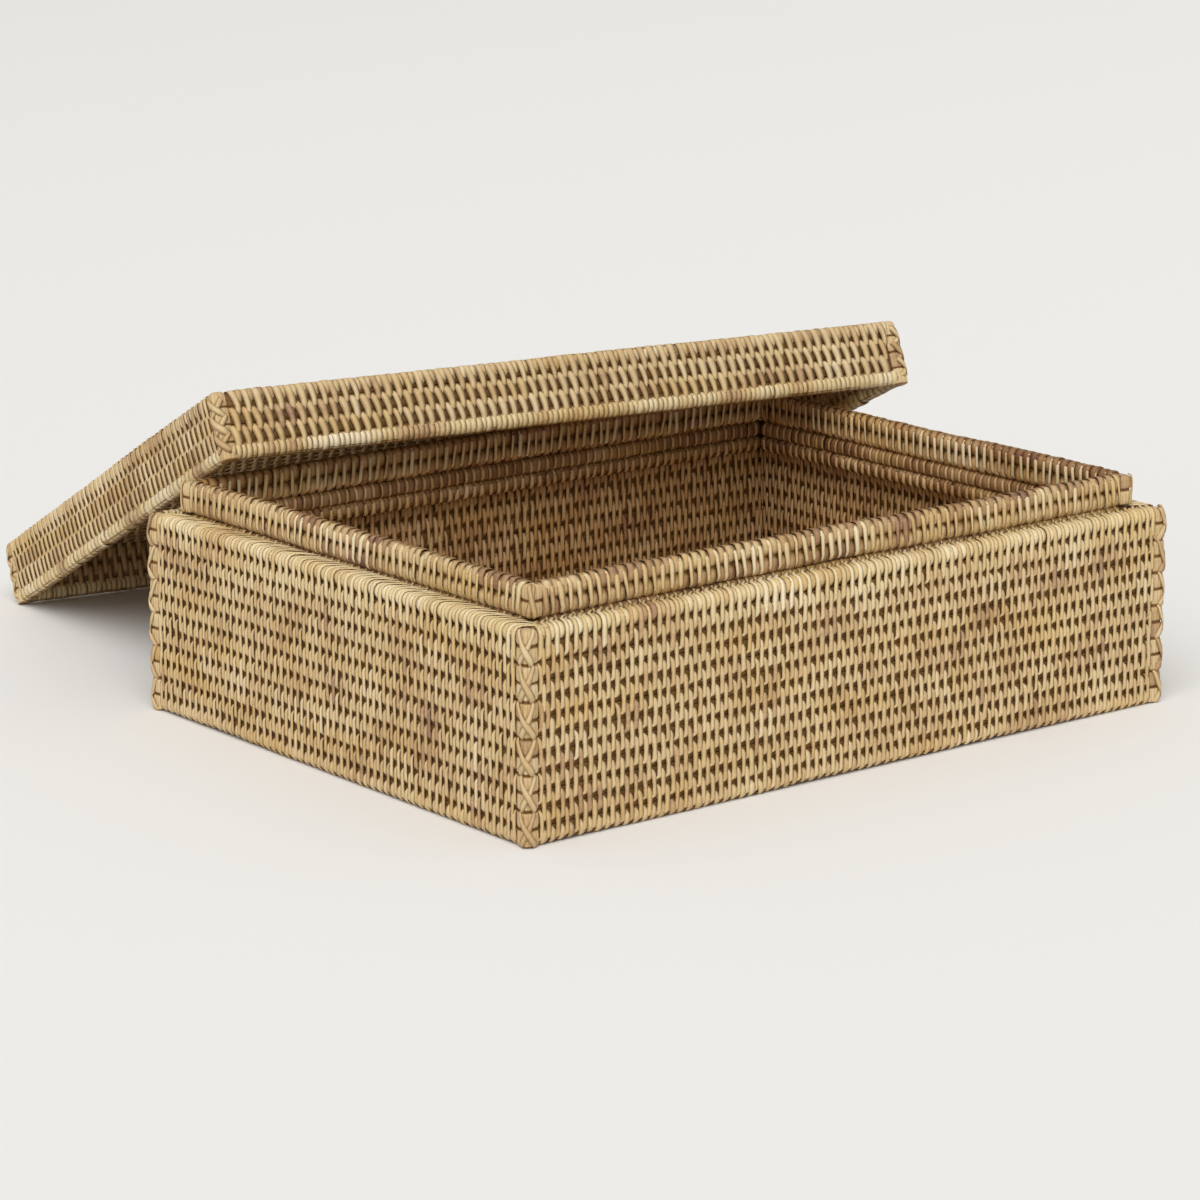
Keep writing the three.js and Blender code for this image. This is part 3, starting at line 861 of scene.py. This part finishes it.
# %% Ridges
RIDGE_STRAND_WIDTHS = {1: 2.2, 2: 3.0}
RIDGE_WRAP_LIFTS = {1: 0.0, 2: 1.0}
RIDGE_WRAP_WIDTH, RIDGE_POWER = 5.3, 3.4
RIDGE_STRAND_MARGIN, RIDGE_WRAP_MARGIN, RIDGE_HEIGHT_MARGIN = 0.6, 0.72, 0.05
RIDGE_CORE_DEEP, RIDGE_CORE_LOSS, RIDGE_CORE_END = 2.9, 0.6, 2
BROWN = (92, 58, 34), (112, 76, 46), (128, 90, 55), (142, 104, 66), (156, 120, 80), (176, 144, 104)
ridge_peel = peel_finish("ridge_peel", BROWN, 31.9)
ridge_strip_peel = peel_finish("ridge_strip_peel", STRAW, 31.9, inside=BOX_INSIDE_SHADE)

for number, side in enumerate(SIDES):
    for level in (1, 2):
        rng = np.random.default_rng(401 + 10 * level + number)
        low, high = node_box(f"ridge_rod_{level}_{side}")
        half = (high - low)[number % 2] / 2
        phases = rng.uniform(0, 2 * np.pi, (1, 3))
        rise, reach = (low[2] + high[2]) / 2, (high - low)[2] / 2 - RIDGE_HEIGHT_MARGIN
        lift = RIDGE_WRAP_LIFTS[level]
        parts = rods([rise], [collar_out], half - RIDGE_CORE_END, RIDGE_CORE_DEEP, reach - RIDGE_CORE_LOSS, phases)
        span = 2 * half - 2 * COLLAR_THICKNESS + INTO_POST
        strand = wrap_path(COLLAR_THICKNESS / 2 - RIDGE_STRAND_MARGIN, reach, RIDGE_STRAND_WIDTHS[level], 0.85,
                           RIDGE_POWER)
        wrap = wrap_path(COLLAR_THICKNESS / 2 - RIDGE_WRAP_MARGIN, reach - lift, RIDGE_WRAP_WIDTH, 0.97, RIDGE_POWER)
        for path, shift, up, crown, finish in ((strand, 0, rise, 0.35, 2), (wrap, 1, rise + lift, 0.2, 0)):
            runs = row_places(span, STITCH_SPACING, shift)
            parts.append(lay_bands(path, runs, up, collar_out, rng, 5 + level, COLLAR_THICKNESS, crown,
                                   finish=finish))
        woven_piece(f"weave_ridge_{level}_{side}", "base", "ridge_wrap", parts, box_sides[side],
                    [ridge_peel, shaded_core, ridge_strip_peel], f"ridge_rod_{level}_{side}", number=number)
print("ridges:", triangles_with("ridge"), "triangles")

# %% [markdown]
# ## The floor and the lid's top
#
# Both are flat panels of rods along the length, bound like the walls. Hardly any of them shows in the photograph, so
# their stitches stand a little further apart and have fewer steps, which keeps the meshes small. A panel is worked
# out like a side that lies on its back: up runs across the rods, and out through the outer face.

# %% Panels
PANEL_SPACING, PANEL_WIDTH, PANEL_SWEEP = 6.3, 4.0, 0.6
PANEL_ROD_SHARE, PANEL_WANDER, PANEL_CORE_SHARE = 0.44, 0.3, 0.4
PANEL_ROD_SIDES, PANEL_ROD_STEP = 8, 24.0
PANEL_STEPS = [0, 1, 3, 4, 5, 7, 8, 9, 11, 13]
FLOOR_RODS, LID_TOP_RODS = 35, 33
LID_TOP_THICKNESS, LID_TOP_GAP = 11.5, 0.3
panel_peel = peel_finish("panel_peel", STRAW, 57.5, inside=LID_INSIDE_SHADE)


def woven_panel(name, body, node, place, length, width, rod_count, thickness, seed):
    """A level panel. Its own frame has the run along the rods, up across them and out through its outer face."""
    rng = np.random.default_rng(seed)
    pitch = width / rod_count
    phases = rng.uniform(0, 2 * np.pi, (rod_count, 3)) * PANEL_WANDER
    rises = pitch * (np.arange(rod_count) + 0.5) - width / 2
    out = -thickness / 2
    parts = rods(rises, np.full(rod_count, out), length / 2, thickness * PANEL_CORE_SHARE, pitch * 0.5, phases,
                 sides=PANEL_ROD_SIDES, step=PANEL_ROD_STEP)
    path = stitch_path(pitch, thickness / 2 - FACE_MARGIN, pitch * PANEL_ROD_SHARE, PANEL_WIDTH, LONG_SIDE["table"],
                       PANEL_SWEEP, LONG_SIDE["bends"])[PANEL_STEPS]
    parts += stitch_rows(path, range(1, rod_count), length - 2, PANEL_SPACING, pitch, -width / 2, out, phases, rng,
                         thickness)
    woven_piece(name, body, "woven_panel", parts, place, [panel_peel, pale_core], node)
    print(f"{name}: {made[name]} triangles")


floor_low, floor_high = node_box("base_floor")
floor_size = floor_high - floor_low
floor_place = (np.array([0.0, 0.0, floor_low[2]]), X_WAY, -Y_WAY, -Z_WAY)
woven_panel("weave_floor", "base", "base_floor", floor_place, floor_size[0], floor_size[1], FLOOR_RODS,
            floor_size[2], 501)
lid_edge = 2 * (LID_THICKNESS + LID_TOP_GAP)
top_place = (lid_foot + lid_up * LID_HEIGHT, lid_run, lid_depth, lid_up)
woven_panel("weave_lid_top", "lid", "lid_panel", top_place, BOX_LENGTH - lid_edge, BOX_WIDTH - lid_edge,
            LID_TOP_RODS, LID_TOP_THICKNESS, 502)

# %% [markdown]
# ## The lid's walls and rim
#
# The lid is bound more loosely: its stitches stand about 6 mm apart and leave tall dark gaps. They start wide under
# a seam and end narrow, drawn in behind the tips of the next row. Its lowest rod is wrapped without gaps and makes a
# smooth pale rim, and wraps on its top rod reach the edge of the panel.

# %% Lid walls and rim
LID_BENDS = (3.2, 2.2, 0.9)
LID_LONG_SIDE = {"spacing": 5.9, "width": 3.75, "climb": 1.7, "recess": CORE_RECESS, "table": np.array([
    [0.93, 1.1, -1.35, 0.0], [0.88, 1.25, -1.32, 0.0], [0.75, 1.32, -1.1, 0.0], [0.5, 1.25, -0.68, 0.0],
    [0.25, 1.12, -0.32, 0.0], [0.0, 1.0, 0.0, 0.0], [-0.2, 0.96, -0.05, 0.0], [-0.38, 0.86, -0.2, 0.2],
    [-0.58, 0.6, -0.4, 1.2], [-0.7, 0.5, -0.4, 2.0], [-0.86, 0.5, -0.3, 1.5]])}
LID_SHORT_SIDE = {"spacing": 6.1, "width": 3.6, "climb": None, "recess": 0.75, "table": np.array([
    [0.93, 1.0, -0.8, 0.0], [0.87, 1.08, -0.8, 0.0], [0.72, 1.08, -0.6, 0.0], [0.5, 1.02, -0.4, 0.0],
    [0.25, 0.98, -0.2, 0.0], [0.0, 0.97, 0.0, 0.0], [-0.2, 0.97, 0.1, 0.1], [-0.32, 0.92, 0.15, 0.6],
    [-0.43, 0.8, 0.15, 1.8], [-0.7, 0.6, 0.1, 2.4], [-0.88, 0.6, 0.0, 1.5]])}
LID_TIP_SHIFT, LID_JITTER, LID_ROD_SHARE, LID_TOP_RECESS = 1.3, 0.13, 0.43, 1.05
LID_WRAP_MARGIN, LID_WRAP_SHARE, LID_WRAP_POWER = 0.5, 1.15, 3.4
RIM_TUCK, RIM_TUCK_BELOW = 0.86, 0.8
RIM_SPACINGS, RIM_JITTERS = (5.9 / 2, 5.2), (0.12, 0.35)
RIM_MARGIN, RIM_HEIGHT_MARGIN, RIM_OVERLAP, RIM_POWER = 0.3, 0.35, 0.7, 2.3
lid_peel = peel_finish("lid_peel", STRAW, 3.1, inside=LID_INSIDE_SHADE)
lid_out = -LID_THICKNESS / 2


def tuck_over_rim(stitches):
    """Draws the lower end of the lowest stitches in behind the rim: out goes towards the wall's middle there."""
    up, from_middle = stitches["points"][:, 1], stitches["points"][:, 2] - lid_out
    tuck = np.where(up < LID_PITCH * RIM_TUCK_BELOW, RIM_TUCK, 1.0)
    stitches["points"][:, 2] = lid_out + from_middle * tuck


for number, (side, run_length) in enumerate(zip(SIDES, SIDE_LENGTHS)):
    stitch = LID_SHORT_SIDE if number % 2 else LID_LONG_SIDE
    spacing, width, climb = stitch["spacing"], stitch["width"], stitch["climb"]
    span, high = run_length - 2 * LID_THICKNESS + INTO_POST, LID_PITCH * LID_ROD_SHARE
    path = stitch_path(LID_PITCH, LID_THICKNESS / 2 - FACE_MARGIN, high, width, stitch["table"], 1.0, LID_BENDS)
    parts, phases, rng = wall_weave(path, span, LID_RODS, LID_PITCH, LID_THICKNESS, spacing, 601 + number,
                                    high - END_RECESS, high - LID_TOP_RECESS, stitch["recess"], climb=climb,
                                    jitter=LID_JITTER)
    tuck_over_rim(parts[LID_RODS])
    runs = row_places(span, spacing, 0) + (0 if climb is None else climb + spacing / 2 - LID_TIP_SHIFT)
    top_wrap = wrap_path(LID_THICKNESS / 2 - LID_WRAP_MARGIN, high, width * LID_WRAP_SHARE, 0.95, LID_WRAP_POWER)
    parts.append(lay_bands(top_wrap, runs, LID_PITCH * (LID_RODS - 0.5), lid_out, rng, 4, LID_THICKNESS, crown=0.3))
    # The lid's front wall gets the core with painted shade in it.
    woven_piece(f"weave_lid_wall_{side}", "lid", "woven_wall", parts, lid_sides[side],
                [lid_peel, shaded_core if side == "front" else pale_core], f"lid_wall_{side}", number=number)
    rim_spacing = RIM_SPACINGS[number % 2]
    rim_wrap = wrap_path(LID_THICKNESS / 2 - RIM_MARGIN, LID_PITCH / 2 - RIM_HEIGHT_MARGIN,
                         rim_spacing + RIM_OVERLAP, 1.0, RIM_POWER)
    runs = row_places(run_length - LID_THICKNESS, rim_spacing, 0)
    rim = lay_bands(rim_wrap, runs, LID_PITCH / 2, lid_out, rng, 8, LID_THICKNESS, crown=0.12,
                    jitter=RIM_JITTERS[number % 2])
    woven_piece(f"weave_lid_rim_{side}", "lid", "wrapped_rim", [rim], lid_sides[side], [rim_peel],
                f"lid_rim_{side}", number=number)
print("lid:", triangles_with("lid"), "triangles")

# %% [markdown]
# ## The pads of the corners
#
# Where two walls meet, the ends of their rods lie in turn on one another, each wrapped into a square pad. A cube with
# a Bevel modifier comes close, but a pad bulges between its seams and shows the turns of its wrap, so its outline is
# a superellipse with shallow grooves and its girth follows a cosine. A plain post inside closes the slots.

# %% Corner pads
FULL_SWING = np.radians(76)
PAD_POINTS, PAD_LEVELS, POINTS_PER_TURN = 36, 7, 3
GROOVE, GROOVE_ACROSS, PAD_ACROSS = 0.07, 1.0, 0.2
TOP_BULGE, TOP_DROP = 0.35, 0.5
PAD_SHIFT, PAD_SIZES = 0.08, (0.95, 0.99)
POST_SHARE, POST_FOOT, POST_TOP = 0.8, 1, 2.5


def post_block(low, high, half, middle, square, girth, across, lot, finish=0, pale_top=False):
    """A closed upright block. Its outline is square, half the width times a share for each point around; its size
    from low to high follows girth, whose stations stand as the sine of an even swing, closer near the ends. Its ends
    get painted shade, but pale_top leaves the top one as it is."""
    levels = np.linspace(-1, 1, len(girth))
    turn = (np.arange(len(square)) + 0.5) * 2 * np.pi / len(square)
    height = np.sin(levels * FULL_SWING) / np.sin(FULL_SWING)
    reach = half * square * girth[:, None]
    rise = (low + high) / 2 + height[:, None] * (high - low) / 2 + 0 * turn
    rings = np.stack([middle + reach * np.cos(turn), rise, -middle + reach * np.sin(turn)], -1)
    ends = [[middle, low, -middle], [middle, high, -middle]]
    # Painted shade towards the ends of a block, where it meets the next.
    end_shade = np.abs(levels) ** 4 * np.where(pale_top & (np.arange(len(levels)) > len(levels) / 2), 0, 1)
    depth = np.append(np.repeat(end_shade, len(square)), [1, 0 if pale_top else 1])
    return capped_tube(rings, ends, 1, across, lot, 0, depth, finish)


def corner_pads(count, pitch, thickness, foot, rng, corner_power=4.4, fill=0.44, bulge=0.09):
    """Wrapped rod ends, one block for each row, with a groove after every few points where the turns of its wrap
    meet, and one plain post inside them. A block's outline is a superellipse; it fills a share of its row, and its
    girth is the cosine of the swing from its middle, raised to the power bulge."""
    middle = thickness / 2
    turn = (np.arange(PAD_POINTS) + 0.5) * 2 * np.pi / PAD_POINTS
    square = superellipse_reach(turn, corner_power)
    in_groove = np.arange(PAD_POINTS) % POINTS_PER_TURN == 0
    swing = np.linspace(-1, 1, PAD_LEVELS) * FULL_SWING
    # Painted shade in the grooves: across is 1 there, so the finish darkens them like a strip's edge.
    across = np.where(in_groove, GROOVE_ACROSS, PAD_ACROSS)
    parts = [post_block(foot + POST_FOOT, foot + count * pitch - POST_TOP, middle * POST_SHARE, middle, square,
                        np.ones(3), 0 * turn, 0 * turn, finish=2)]
    for level in range(count):
        low, high = (foot + pitch * (level + 0.5 + k * fill) + rng.normal(0, PAD_SHIFT) for k in (-1, 1))
        half = middle * rng.uniform(*PAD_SIZES)
        lot = np.repeat(rng.random(PAD_POINTS // POINTS_PER_TURN), POINTS_PER_TURN)
        on_top = level == count - 1
        girth = np.cos(swing) ** np.where(on_top & (swing > 0), TOP_BULGE, bulge)
        pad = post_block(low, high - TOP_DROP * on_top, half, middle, square * (1 - GROOVE * in_groove), girth,
                         across, lot, pale_top=on_top)
        pad["place"][:, 1] += level
        parts.append(pad)
    return parts


print("a pad has", PAD_POINTS // POINTS_PER_TURN, "turns of wrap")

# %% [markdown]
# ## The crossed lashings
#
# A strip crosses over each corner's edge from pad to pad and back, and makes a column of X shapes: one for every two
# rows on the box, one at each seam of the lid. A Shrinkwrap modifier could press a strip on to the corner. Here its
# way round the edge is an arc with straight faces beyond, which is exact and needs nothing underneath.

# %% Crossed lashings
LASHING_STEPS, LASHING_CROWN, LASHING_KEEL = 13, 0.5, 0.3
CROSSING_DROP = 0.2
SPREADS, WIDTHS, EDGE_SHIFT = (0.8, 1.15), (0.85, 1.15), 0.5
LASHING_LIFT, SECOND_LIFT, END_SINK = 0.1, 0.35, 1.8
END_POWER, END_NARROWING, END_MARGIN = 9, 0.35, 0.3


def crossed_lashings(seams, rng, width=3.0, reach=4.9, round_edge=2.4, flare=0.3, overlap=0.54):
    """Two bands between each seam and the next, crossing on the corner's edge. A band's way round the edge is its way
    down, less a fifth of one minus its square, so the crossing is below the middle; its place on the edge's rounding
    is an arc of radius round_edge, with straight faces beyond, and its ends sink in."""
    way = np.linspace(-1, 1, LASHING_STEPS)
    near_end = np.abs(way) ** END_POWER
    parts = []
    for level, (low, high) in enumerate(zip(seams[:-1], seams[1:])):
        for lean_way in (-1, 1):
            spread = reach * rng.uniform(*SPREADS)
            around = lean_way * (way - CROSSING_DROP * (1 - way**2)) * spread + rng.normal(0, EDGE_SHIFT)
            turn = np.clip(np.pi / 4 + around / round_edge, 0, np.pi / 2)
            past = np.maximum(np.abs(around) - np.pi * round_edge / 4, 0)
            face_run, face_out = -np.cos(turn), np.sin(turn)
            run = round_edge * (1 - np.cos(turn)) + np.where(around > 0, past, 0)
            out = -round_edge * (1 - np.sin(turn)) - np.where(around < 0, past, 0)
            lift = LASHING_LIFT + (SECOND_LIFT if lean_way > 0 else 0) - END_SINK * near_end
            rise = (low + high) / 2 - way * (high - low) * overlap
            rise = rise.clip(seams[0] + END_MARGIN, seams[-1] - END_MARGIN)
            middle = np.stack([run + face_run * lift, rise, out + face_out * lift], 1)
            face = np.stack([face_run, 0 * way, face_out], 1)
            side_way = np.cross(np.gradient(middle, axis=0), face)
            side_way /= np.linalg.norm(side_way, axis=1)[:, None]
            wide = width * rng.uniform(*WIDTHS) * (1 + flare * way) * (1 - END_NARROWING * near_end)
            crown = np.full((1, len(way)), LASHING_CROWN)
            # The depth that grows towards a band's ends makes the finish paint shade where they sink in.
            parts.append(bands(middle[None], side_way[None], face[None], wide[None], crown, False, rng.random(1),
                               np.zeros(1), np.array([float(level)]), (np.abs(way) ** 8)[None],
                               keel=LASHING_KEEL, finish=1))
    return parts


box_seams = WALL_PITCH * np.arange(0, WALL_RODS + 2, 2)
print("crossings on a corner of the box:", len(box_seams) - 1)

# %% [markdown]
# ## All twelve corners
#
# The box, its collar and its lid each have four corners of the same kind. A side's own frame, moved along to its left
# end, is the frame of the corner there, so one loop can lash them all. The box's corners are blunt, and the lid's
# are rounder with pads that nearly touch.

# %% Lash the corners
CORNERS = {"front": "front_left", "right": "front_right", "rear": "rear_right", "left": "rear_left"}
pad_peel = peel_finish("pad_peel", STRAW, 47.3, dark_from=0.4, dark_to=0.9)
lashing_peel = peel_finish("lashing_peel", STRAW, 43.2, dark_from=0.6, dark_to=1.0)
corner_kinds = (  # name, body, sides, inset, what the pads need, how they look, seams to cross, how the X looks
    ("corner", "base", box_sides, 0.0, (WALL_RODS + 1, WALL_PITCH, WALL_THICKNESS, 0.0), {}, box_seams, {}),
    ("collar_corner", "base", box_sides, COLLAR_INSET, (COLLAR_RODS, COLLAR_PITCH, COLLAR_THICKNESS, WALL_TOP), {},
     WALL_TOP + COLLAR_PITCH * np.array([0, 2]), {"width": 2.3, "reach": 1.7}),
    ("lid_corner", "lid", lid_sides, 0.0, (LID_RODS, LID_PITCH, LID_THICKNESS, 0.0),
     {"corner_power": 3.0, "fill": 0.47, "bulge": 0.07}, LID_PITCH * (np.arange(LID_RODS) + 0.5),
     {"width": 3.5, "reach": 5.4, "round_edge": 3.4, "flare": 0.0, "overlap": 0.62}),
)

for number, (side, run_length) in enumerate(zip(SIDES, SIDE_LENGTHS)):
    rng = np.random.default_rng(701 + number)
    for name, body, sides, inset, pads, pad_look, seams, crossing_look in corner_kinds:
        origin, run, up, out = sides[side]
        left_end = (origin - run * (run_length / 2 - inset) - out * inset, run, up, out)
        parts = corner_pads(*pads, rng, **pad_look)
        parts += crossed_lashings(seams, rng, **crossing_look)
        node = f"{'base_' if name == 'corner' else ''}{name}_{CORNERS[side]}"
        woven_piece(f"lashed_{name}_{CORNERS[side]}", body, "corner_lashing", parts, left_end,
                    [pad_peel, lashing_peel, shaded_core], node, number=number)
print("corners:", triangles_with("corner"), "triangles")
print("whole object:", sum(made.values()), "triangles")

# %% [markdown]
# ## The floor
#
# The photograph is a plain studio picture: a pale floor that runs out of view and keeps the soft shadow. A curved
# backdrop would be the usual way in a studio. From this height a floor alone fills the picture, and its colour, a
# little darker far behind and to the left, gives the same soft fall of light.

# %% Studio floor
FLOOR_SIZE, FLOOR_DROP = 24.0, 0.0002
FLOOR_NEAR, FLOOR_FAR = paint(239, 238, 235), paint(230, 229, 226)
FAR_FROM, FAR_TO, FAR_TO_THE_LEFT = 0.3, 3.2, -0.3

half = FLOOR_SIZE / 2
corners = [(-half, -half, -FLOOR_DROP), (half, -half, -FLOOR_DROP), (half, half, -FLOOR_DROP),
           (-half, half, -FLOOR_DROP)]
mesh = bpy.data.meshes.new("studio_floor")
mesh.from_pydata(corners, [], [(0, 1, 2, 3)])
floor = bpy.data.objects.new("studio_floor", mesh)
bpy.context.scene.collection.objects.link(floor)
finish, tree, shader = new_finish("pale_floor")
point = add_node(tree, "ShaderNodeTexCoord").outputs["Object"]
across, away, _ = add_node(tree, "ShaderNodeSeparateXYZ", Vector=point).outputs
behind = calculate(tree, "MULTIPLY_ADD", across, FAR_TO_THE_LEFT, away)
colour = blend_colours(tree, map_range(tree, behind, FAR_FROM, FAR_TO), FLOOR_NEAR, FLOOR_FAR)
tree.links.new(colour, shader.inputs["Base Color"])
shader.inputs["Roughness"].default_value = 0.9
shader.inputs["Specular IOR Level"].default_value = 0.2
mesh.materials.append(finish)
print("floor", FLOOR_SIZE, "m wide")

# %% [markdown]
# ## The light
#
# The light is soft and nearly white. The world gives the part of it that comes from all round. An area lamp would be
# the real softbox, but its light fades with distance and would spot the floor, so two far lamps that are wide in the
# sky give the soft shadows evenly: a key from above and behind the camera, and a low weak one for the walls.

# %% World and lamps
WORLD_COLOUR, WORLD_STRENGTH = (1.0, 0.99, 0.98, 1.0), 0.55


def wide_lamp(name, compass, height, spread, strength):
    """A far lamp, spread degrees wide in the sky: its light travels towards compass degrees, falling by height."""
    data = bpy.data.lights.new(name, "SUN")
    data.energy = strength
    data.angle = math.radians(spread)
    lamp = bpy.data.objects.new(name, data)
    lamp.rotation_euler = (math.radians(90 - height), 0, math.radians(-compass))
    bpy.context.scene.collection.objects.link(lamp)


world = bpy.data.worlds.new("studio")
bpy.context.scene.world = world
world.use_nodes = True
background = world.node_tree.nodes["Background"]
background.inputs["Color"].default_value = WORLD_COLOUR
background.inputs["Strength"].default_value = WORLD_STRENGTH
wide_lamp("soft_key", compass=46, height=50, spread=50, strength=1.72)
wide_lamp("soft_fill", compass=40, height=12, spread=60, strength=0.32)
bpy.context.scene.view_settings.view_transform = "Standard"
print("lamps:", [light.name for light in bpy.data.lights])
